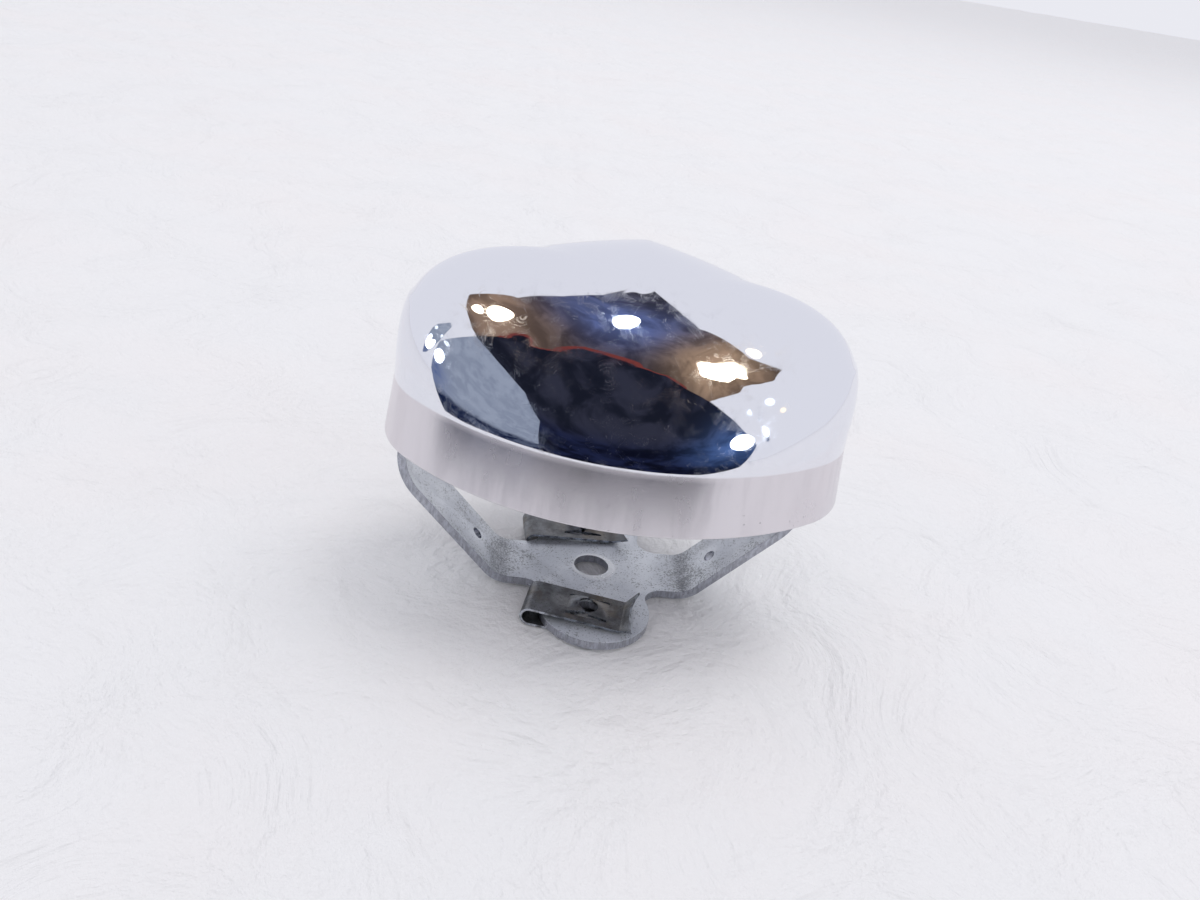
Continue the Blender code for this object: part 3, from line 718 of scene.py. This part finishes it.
def cover_outline():
    """Plan outline of the skirt's top edge as (x, y, angle of the outward normal)."""
    front_reach = (APEX_RADIUS * math.sin(APEX_TURN)
                   + BACK_SIDE_RADIUS * (math.sin(BACK_SIDE_TURN) - math.sin(APEX_TURN))
                   + CORNER_RADIUS * (math.sin(CORNER_TURN) - math.sin(BACK_SIDE_TURN)))
    front_radius = front_reach / math.sin(CORNER_TURN)
    arcs = ((APEX_RADIUS, 0.0, APEX_TURN), (BACK_SIDE_RADIUS, APEX_TURN, BACK_SIDE_TURN),
            (CORNER_RADIUS, BACK_SIDE_TURN, CORNER_TURN),
            (front_radius, CORNER_TURN, math.pi))
    half = []
    x, y = 0.0, COVER_BACK_Y
    for radius, first, last in arcs:
        for angle in arc_angles(first, last, OUTLINE_SPACING / max(radius, OUTLINE_TIGHTEST)):
            half.append((x + radius * (math.sin(angle) - math.sin(first)),
                         y + radius * (math.cos(angle) - math.cos(first)), angle))
        x += radius * (math.sin(last) - math.sin(first))
        y += radius * (math.cos(last) - math.cos(first))
    half.append((0.0, y, math.pi))
    return half + [(-px, py, -angle) for px, py, angle in reversed(half[1:-1])]


def crown_height(share, angle, y):
    """Height of the crown over the skirt's top edge; share is 0 at its focus, 1 outside."""
    roundness = SHOULDER_MEAN + SHOULDER_BACK * math.cos(angle)
    roundness += SHOULDER_SIDE * math.cos(2.0 * angle)
    roundness = max(roundness, SHOULDER_LEAST)
    fall = 1.0 - CROWN_FALL * ((y - CROWN_RIDGE_Y) / CROWN_FALL_REACH) ** 2
    return CROWN_HEIGHT * fall * (1.0 - share ** CROWN_POWER) ** (1.0 / roundness)


def add_skin(bm, inset):
    """Add one skin of the cover and return its rim ring."""
    outline = [(x - inset * math.sin(a), y - inset * math.cos(a), a)
               for x, y, a in cover_outline()]
    skirt_top = RIM_HEIGHT + SKIRT_HEIGHT
    flatten = 1.0 - inset / CROWN_HEIGHT
    rings = []
    for i in range(SKIRT_RINGS + 1):
        level = i / SKIRT_RINGS
        out = SKIRT_HEIGHT * math.tan(SKIRT_DRAFT) * (1.0 - level)
        rings.append([(x + out * math.sin(a), y + out * math.cos(a),
                       RIM_HEIGHT + SKIRT_HEIGHT * level) for x, y, a in outline])
    for i in range(1, CROWN_RINGS):
        share = math.cos(0.5 * math.pi * i / CROWN_RINGS) ** (2.0 / CROWN_POWER)
        ring = []
        for x, y, angle in outline:
            ring_y = CROWN_FOCUS_Y + (y - CROWN_FOCUS_Y) * share
            ring.append((x * share, ring_y,
                         skirt_top + crown_height(share, angle, ring_y) * flatten))
        rings.append(ring)
    made = [[bm.verts.new(point) for point in ring] for ring in rings]
    count = len(outline)
    for lower, upper in zip(made, made[1:]):
        for i in range(count):
            j = (i + 1) % count
            bm.faces.new((lower[i], lower[j], upper[j], upper[i]))
    top = bm.verts.new((0.0, CROWN_FOCUS_Y,
                        skirt_top + crown_height(0.0, 0.0, CROWN_FOCUS_Y) * flatten))
    for i in range(count):
        bm.faces.new((made[-1][i], made[-1][(i + 1) % count], top))
    return made[0]


def make_chrome():
    """Mirror chrome: clean crown with fine wiping scratches, hazier smudged skirt whose darker,
    pinker colour is a painted reflection tone.
    """
    material, tree, shader, place = start_material("mirror_chrome")
    height = add_node(tree, "ShaderNodeSeparateXYZ", {0: place}).outputs["Z"]
    skirt = add_range(tree, height, RIM_HEIGHT + SKIRT_HEIGHT - 0.0003,
                      RIM_HEIGHT + SKIRT_HEIGHT + 0.0003, 1.0, 0.0)
    crown = add_math(tree, 'SUBTRACT', 1.0, skirt)
    scratch = use_group(tree, wiping_scratches, Fineness=95.0, Density=1.0)
    streaks = add_noise(tree, stretched_place(tree, place, (1.0, 1.0, 0.10)), 300.0, 4.0, 0.6)
    smudge = add_range(tree, add_noise(tree, place, 75.0, 4.0, 0.6, 0.8), 0.45, 0.72)
    pits = add_range(tree, add_noise(tree, place, 1500.0, 1.0, 0.4), 0.765, 0.80)
    pits = add_math(tree, 'MULTIPLY', pits, skirt)
    # painted reflection: the whole skirt is coloured darker and pinker than the crown
    colour = add_mix(tree, skirt, (0.83, 0.84, 0.89), (0.745, 0.715, 0.745))
    haze = add_math(tree, 'MULTIPLY', add_range(tree, streaks, 0.38, 0.68), skirt)
    colour = add_mix(tree, add_math(tree, 'MULTIPLY', haze, 0.40), colour,
                     (0.66, 0.63, 0.66))
    colour = add_mix(tree, add_math(tree, 'MULTIPLY', pits, 0.8), colour,
                     (0.25, 0.24, 0.26))
    tree.links.new(colour, shader.inputs["Base Color"])
    shader.inputs["Metallic"].default_value = 1.0
    rough = add_math(tree, 'ADD', add_math(tree, 'MULTIPLY', skirt, 0.19), 0.025)
    rough = add_math(tree, 'ADD', rough, add_math(tree, 'MULTIPLY', haze, 0.05))
    scratch_share = add_math(tree, 'MULTIPLY', scratch.outputs["Scratch"], 0.24)
    rough = add_math(tree, 'ADD', rough, add_math(tree, 'MULTIPLY', scratch_share, crown))
    rough = add_math(tree, 'ADD', rough, add_math(tree, 'MULTIPLY', smudge, 0.035))
    tree.links.new(rough, shader.inputs["Roughness"])
    relief = add_math(tree, 'ADD', smudge, add_math(tree, 'MULTIPLY', haze, 0.5))
    add_bump(tree, shader, relief, 0.06, 0.00003)
    return material


def build_cover():
    """Both skins joined round the rim, the crown faired, squared to the frame's cover."""
    bm = bmesh.new()
    outer = add_skin(bm, 0.0)
    inner = add_skin(bm, COVER_WALL)
    count = len(outer)
    for i in range(count):
        j = (i + 1) % count
        bm.faces.new((outer[i], outer[j], inner[j], inner[i]))
    fair_from = RIM_HEIGHT + SKIRT_HEIGHT + FAIR_SHARE * CROWN_HEIGHT
    upper = [vertex for vertex in bm.verts if vertex.co.z > fair_from]
    for _ in range(FAIR_PASSES):
        bmesh.ops.smooth_vert(bm, verts=upper, factor=0.5, use_axis_x=True, use_axis_y=True,
                              use_axis_z=True)
    bm.transform(Matrix.Translation(HOLE_AXIS) @ Matrix.Rotation(COVER_YAW, 4, 'Z'))
    low = Vector([min(v.co[k] for v in bm.verts) for k in range(3)])
    high = Vector([max(v.co[k] for v in bm.verts) for k in range(3)])
    for vertex in bm.verts:
        for k in range(3):
            share = (vertex.co[k] - low[k]) / (high[k] - low[k])
            vertex.co[k] = cover_low[k] + share * (cover_high[k] - cover_low[k])
    piece = finish_mesh("chrome_cover", bm, (make_chrome(),), "cover_and_bracket",
                        "cover_shell")
    round_sharp_edges(piece, RIM_ROUNDING, 3)


build_cover()


# ---------------------------------------------------------------- weld beads
# Two short fillet beads, plated over, join the arm tips to the skirt's inner wall. They
# keep the frame's own shape and only get their finish here.
def make_weld_metal():
    """Rippled, plated-over weld metal."""
    material, tree, shader, place = start_material("weld_metal_finish")
    ripple = add_node(tree, "ShaderNodeTexWave",
                      {"Vector": place, "Scale": 180.0, "Distortion": 3.0,
                       "Detail": 2.0}, bands_direction='Y').outputs["Fac"]
    stain = add_noise(tree, place, 600.0, 4.0, 0.6)
    tree.links.new(add_mix(tree, add_range(tree, stain, 0.35, 0.65), (0.26, 0.26, 0.27),
                           (0.55, 0.56, 0.58)), shader.inputs["Base Color"])
    shader.inputs["Metallic"].default_value = 0.9
    tree.links.new(add_range(tree, stain, 0.3, 0.7, 0.35, 0.55), shader.inputs["Roughness"])
    add_bump(tree, shader, ripple, 0.8, 0.0004)
    return material


weld_metal_finish = make_weld_metal()
for bead_name in ("weld_bead_left", "weld_bead_right"):
    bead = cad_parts[bead_name]
    bead.data.materials.clear()
    bead.data.materials.append(weld_metal_finish)


# ---------------------------------------------------------------- floor
# A pale, softly crumpled fleece sheet under the part, nearly flat where the part stands
# on it. Its folds only go down, so that nothing rises into the part.
FLOOR_REACH = 8.0
FLOOR_STEPS = 220
FLOOR_CROWDING = 2.2        # power that draws the grid's lines in towards the part
FLAT_RADIUS = 0.03
FLAT_FADE = 0.12
CRUMPLE_DEPTH = 0.0055
CRUMPLE_LEAST = 0.10        # share of the depth left under the part
CRUMPLE_SCALE = 14.0


def make_fleece():
    """White fleece: a short nap over soft folds, tinted in broad patches."""
    material, tree, shader, place = start_material("white_fleece")
    tint = add_range(tree, add_noise(tree, place, 9.0, 4.0, 0.6), 0.40, 0.70)
    tree.links.new(add_mix(tree, tint, (0.88, 0.875, 0.87), (0.89, 0.87, 0.86)),
                   shader.inputs["Base Color"])
    shader.inputs["Roughness"].default_value = 0.95
    nap = add_noise(tree, place, 380.0, 5.0, 0.65)
    folds = add_noise(tree, place, 26.0, 6.0, 0.55, 1.2)
    height = add_math(tree, 'ADD', add_math(tree, 'MULTIPLY', nap, 0.12), folds)
    add_bump(tree, shader, height, 0.75, 0.006)
    return material


def build_floor():
    """A square sheet whose grid is finest near the part."""
    bm = bmesh.new()
    bmesh.ops.create_grid(bm, x_segments=FLOOR_STEPS, y_segments=FLOOR_STEPS, size=1.0)
    for vertex in bm.verts:
        for k in range(2):
            spread = abs(vertex.co[k]) ** FLOOR_CROWDING
            vertex.co[k] = FLOOR_REACH * math.copysign(spread, vertex.co[k])
        away = min(1.0, max(0.0, (vertex.co.xy.length - FLAT_RADIUS) / FLAT_FADE))
        fold = noise.fractal(vertex.co * CRUMPLE_SCALE, 0.9, 2.1, 5)
        share = CRUMPLE_LEAST + (1.0 - CRUMPLE_LEAST) * away
        vertex.co.z = -CRUMPLE_DEPTH * share * abs(fold)
    mesh = bpy.data.meshes.new("fleece_floor")
    bm.to_mesh(mesh)
    bm.free()
    mesh.shade_smooth()
    mesh.materials.append(make_fleece())
    floor = bpy.data.objects.new("fleece_floor", mesh)
    bpy.context.scene.collection.objects.link(floor)


build_floor()


# ---------------------------------------------------------------- room and lights
# A white tent open towards the front: even light all round, one softbox, and beyond the
# opening a dim room with lamps on its ceiling, which only the chrome reflects.
TENT_COLOUR = (0.91, 0.915, 0.98)
TENT_BRIGHTNESS = 0.90
SOFTBOX_AT = Vector((1.00, 0.60, 3.00))
SOFTBOX_SIZE = 1.5
SOFTBOX_POWER = 20.0
ROOM_RADIUS = 0.17          # the room hangs as a shell of glowing patches round the part
ROOM_CENTRE = Vector((0.0, -0.02, 0.06))
LAMP_SHARE = 0.98           # the lamps hang just inside the shell
PATCH_CUTS = 7              # so that a patch follows the shell
HALO_POWER = 2.4
HALO_STAIN = 0.45           # a halo is this strong, and as much again on a stain
DISC_SIDES = 32
ONE_DEGREE = math.tan(math.radians(1.0))
CABLE_WIDTH = 0.9           # degrees
# the room's edges as azimuth (0 in front, + to the right) and elevation, in degrees
OPENING_TOP = ((-86, 45), (-74, 60), (-85, 74), (-135, 82), (170, 74), (80, 80), (52, 72),
               (50, 52), (57, 41))
OPENING_RIGHT = ((46, 40), (31, 41))
WALL_TOP = ((22, 47), (0, 58), (-34, 58), (-62, 43))
CORNER_TOP = ((-67, 34),)
OPENING_LEFT = ((-77, 40),)
CORNER = ((-46, 31), (-37, 22), (-36, -20))
FLOOR_EDGE = ((0, -20), (30, -20), (44, -8))
BENCH_RIGHT = ((49, 11), (40, 30))
LEFT_EDGE = ((-79, 17), (-82, 0), (-80, -20), (-58, -20))


def pitch_tent():
    """Even light from all round."""
    world = bpy.data.worlds.new("tent")
    world.use_nodes = True
    backdrop = world.node_tree.nodes["Background"]
    backdrop.inputs["Color"].default_value = (*TENT_COLOUR, 1.0)
    backdrop.inputs["Strength"].default_value = TENT_BRIGHTNESS
    bpy.context.scene.world = world


def room_point(azimuth, elevation, radius=ROOM_RADIUS):
    """The point of the room that the part sees in one direction, given in degrees."""
    azimuth, elevation = math.radians(azimuth), math.radians(elevation)
    return ROOM_CENTRE + radius * Vector((math.sin(azimuth) * math.cos(elevation),
                                          -math.cos(azimuth) * math.cos(elevation),
                                          math.sin(elevation)))


def room_piece(name, bm, material):
    """Add something that the chrome reflects and that nothing else sees."""
    mesh = bpy.data.meshes.new(name)
    bm.to_mesh(mesh)
    bm.free()
    mesh.materials.append(material)
    piece = bpy.data.objects.new(name, mesh)
    for ray in ("camera", "diffuse", "shadow", "transmission", "volume_scatter"):
        setattr(piece, "visible_" + ray, False)
    bpy.context.scene.collection.objects.link(piece)


def glow_material(name, colour, strength):
    """Return a material that only glows, and its emission node."""
    material = bpy.data.materials.new(name)
    material.use_nodes = True
    tree = material.node_tree
    tree.nodes.clear()
    glow = add_node(tree, "ShaderNodeEmission", {"Strength": strength, "Color": colour})
    add_node(tree, "ShaderNodeOutputMaterial", {"Surface": glow.outputs[0]})
    return material, glow


def add_room_patch(name, middle, edge, low_colours, high_colours, change, grain, halos=()):
    """A mottled patch of the dim room: its edge all round, fanned out from its middle.

    It blends from low_colours to high_colours over the heights in change. A halo is the
    light that a lamp throws on it: azimuth, elevation, reach in degrees and colour.
    """
    bm = bmesh.new()
    centre = bm.verts.new(room_point(*middle))
    ring = [bm.verts.new(room_point(*corner)) for corner in edge]
    for i, vertex in enumerate(ring):
        bm.faces.new((centre, vertex, ring[(i + 1) % len(ring)]))
    bmesh.ops.subdivide_edges(bm, edges=bm.edges[:], cuts=PATCH_CUTS, use_grid_fill=True)
    for vertex in bm.verts:
        vertex.co = ROOM_CENTRE + ROOM_RADIUS * (vertex.co - ROOM_CENTRE).normalized()
    material, glow = glow_material(name, (0.0, 0.0, 0.0), 1.0)
    tree = material.node_tree
    place = tree.nodes.new('ShaderNodeTexCoord').outputs["Object"]
    stain = add_range(tree, add_noise(tree, place, grain, 5.0, 0.6, 0.6), 0.40, 0.62)
    height = add_node(tree, "ShaderNodeSeparateXYZ", {0: place}).outputs["Z"]
    wave = add_math(tree, 'ADD', height,
                    add_math(tree, 'MULTIPLY', add_noise(tree, place, 0.6 * grain), 0.03))
    colour = add_mix(tree, add_range(tree, wave, *change),
                     add_mix(tree, stain, *low_colours), add_mix(tree, stain, *high_colours))
    for azimuth, elevation, reach, tint in halos:
        away = add_node(tree, "ShaderNodeVectorMath",
                        {0: place, 1: room_point(azimuth, elevation)},
                        operation='DISTANCE').outputs["Value"]
        fade = add_range(tree, away, 0.0, ROOM_RADIUS * math.radians(reach), 1.0, 0.0)
        strength = add_math(tree, 'ADD', add_math(tree, 'MULTIPLY', stain, HALO_STAIN),
                            HALO_STAIN)
        fade = add_math(tree, 'MULTIPLY', add_math(tree, 'POWER', fade, HALO_POWER), strength)
        colour = add_mix(tree, fade, colour, tint)
    tree.links.new(colour, glow.inputs["Color"])
    room_piece(name, bm, material)


def add_disc(name, azimuth, elevation, half_long, half_short, tilt, material):
    """An oval lamp; its half sizes and tilt are in degrees as seen from the part."""
    middle = room_point(azimuth, elevation, 1.0) - ROOM_CENTRE
    to_east = Vector((0.0, 0.0, 1.0)).cross(middle).normalized()
    to_north = middle.cross(to_east)
    lean = math.radians(tilt)
    bm = bmesh.new()
    ring = []
    for i in range(DISC_SIDES):
        turn = 2.0 * math.pi * i / DISC_SIDES
        along, across = half_long * math.cos(turn), half_short * math.sin(turn)
        east = along * math.cos(lean) - across * math.sin(lean)
        north = along * math.sin(lean) + across * math.cos(lean)
        way = middle + ONE_DEGREE * (east * to_east + north * to_north)
        ring.append(bm.verts.new(ROOM_CENTRE + LAMP_SHARE * ROOM_RADIUS * way.normalized()))
    bm.faces.new(ring)
    room_piece(name, bm, material)


def add_cable(name, route, colour):
    """A cable pinned along a route on the shell, as a narrow glowing strip."""
    bm = bmesh.new()
    lower, upper = [[bm.verts.new(room_point(azimuth, elevation + rise,
                                             LAMP_SHARE * ROOM_RADIUS))
                     for azimuth, elevation in route] for rise in (0.0, CABLE_WIDTH)]
    for i in range(len(route) - 1):
        bm.faces.new((lower[i], lower[i + 1], upper[i + 1], upper[i]))
    room_piece(name, bm, glow_material(name, colour, 1.0)[0])


def place_softbox():
    """One soft lamp high on the right; the chrome doesn't mirror it."""
    light = bpy.data.lights.new("softbox", 'AREA')
    light.size = SOFTBOX_SIZE
    light.energy = SOFTBOX_POWER
    softbox = bpy.data.objects.new("softbox", light)
    softbox.location = SOFTBOX_AT
    softbox.rotation_euler = SOFTBOX_AT.to_track_quat('Z', 'Y').to_euler()
    softbox.visible_glossy = False
    bpy.context.scene.collection.objects.link(softbox)


pitch_tent()
add_room_patch("ceiling", (-8, 72),
               OPENING_TOP + OPENING_RIGHT + WALL_TOP + CORNER_TOP + OPENING_LEFT,
               ((0.026, 0.020, 0.022), (0.085, 0.066, 0.062)),
               ((0.035, 0.034, 0.050), (0.090, 0.090, 0.130)), (0.222, 0.240), 30.0,
               ((-72, 49, 34, (0.42, 0.28, 0.20)), (-22, 78, 34, (0.14, 0.20, 0.48)),
                (40, 52, 34, (0.60, 0.40, 0.26))))
add_room_patch("far_wall", (0, 15),
               WALL_TOP + CORNER_TOP + CORNER + FLOOR_EDGE + BENCH_RIGHT
               + OPENING_RIGHT[-1:],
               ((0.004, 0.005, 0.014), (0.014, 0.019, 0.055)),
               ((0.010, 0.012, 0.022), (0.032, 0.034, 0.055)), (0.125, 0.165), 24.0,
               ((42, 14, 40, (0.10, 0.19, 0.46)),))
add_room_patch("left_wall", (-58, 8), CORNER_TOP + LEFT_EDGE + tuple(reversed(CORNER)),
               ((0.006, 0.012, 0.045), (0.090, 0.110, 0.170)),
               ((0.260, 0.300, 0.390), (0.330, 0.375, 0.470)), (0.045, 0.065), 60.0,
               ((-82, 2, 20, (0.03, 0.07, 0.26)),))

add_cable("red_cable", WALL_TOP, (0.20, 0.045, 0.040))
WARM, COLD = (1.0, 0.86, 0.66), (0.80, 0.88, 1.0)
for name, azimuth, elevation, half_long, half_short, tilt, tint, strength in (
        ("lamp_left", -68, 49, 4.5, 2.2, 80, WARM, 7.0),
        ("lamp_left_small", -73, 43, 2.2, 1.7, 70, WARM, 4.0),
        ("lamp_top", -18, 79.5, 5.5, 3.2, 80, COLD, 8.0),
        ("lamp_right", 39, 51.5, 6.5, 2.3, 120, WARM, 8.0),
        ("lamp_bench", 43, 16, 6.0, 4.2, 120, COLD, 6.0),
        ("lamp_door", -78, 10, 4.2, 2.1, 70, COLD, 5.0),
        ("spot_corner", 54, 53, 3.0, 1.5, 90, WARM, 2.5),
        ("spot_right_high", 48, 30, 2.2, 1.3, 130, COLD, 2.0),
        ("spot_right_low", 53, 23, 1.6, 0.9, 120, WARM, 1.6),
        ("spot_left", -76, 19, 1.5, 1.0, 20, COLD, 1.8)):
    add_disc(name, azimuth, elevation, half_long, half_short, tilt,
             glow_material(name, tint, strength)[0])
place_softbox()


# ---------------------------------------------------------------- camera
# A hand-held camera with a wide 30 mm lens, close in front of the part, looking down at it
# and rolled a little.
CAMERA_AZIMUTH = math.radians(-7.25)
CAMERA_ELEVATION = math.radians(27.7)
CAMERA_ROLL = math.radians(9.65)
CAMERA_DISTANCE = 0.2483
CAMERA_PAN = (-0.00247, -0.0302)
LENS = 30.0


def place_camera():
    """Look at the centre hole from the front and above, the camera rolled a little."""
    back = Vector((math.sin(CAMERA_AZIMUTH) * math.cos(CAMERA_ELEVATION),
                   -math.cos(CAMERA_AZIMUTH) * math.cos(CAMERA_ELEVATION),
                   math.sin(CAMERA_ELEVATION)))
    right = (-back).cross(Vector((0.0, 0.0, 1.0))).normalized()
    up = right.cross(-back)
    level = Matrix((right, up, back)).transposed()
    turned = level @ Matrix.Rotation(-CAMERA_ROLL, 3, 'Z').transposed()
    aim = HOLE_AXIS + Vector((0.0, 0.0, PLATE_BOTTOM))
    eye = aim + turned @ Vector((-CAMERA_PAN[0], -CAMERA_PAN[1], CAMERA_DISTANCE))
    data = bpy.data.cameras.new("camera")
    data.lens = LENS
    data.clip_start = 0.01
    camera = bpy.data.objects.new("camera", data)
    camera.matrix_world = Matrix.Translation(eye) @ turned.to_4x4()
    bpy.context.scene.collection.objects.link(camera)
    bpy.context.scene.camera = camera


place_camera()
bpy.context.scene.view_settings.view_transform = 'Standard'

bpy.context.view_layer.update()
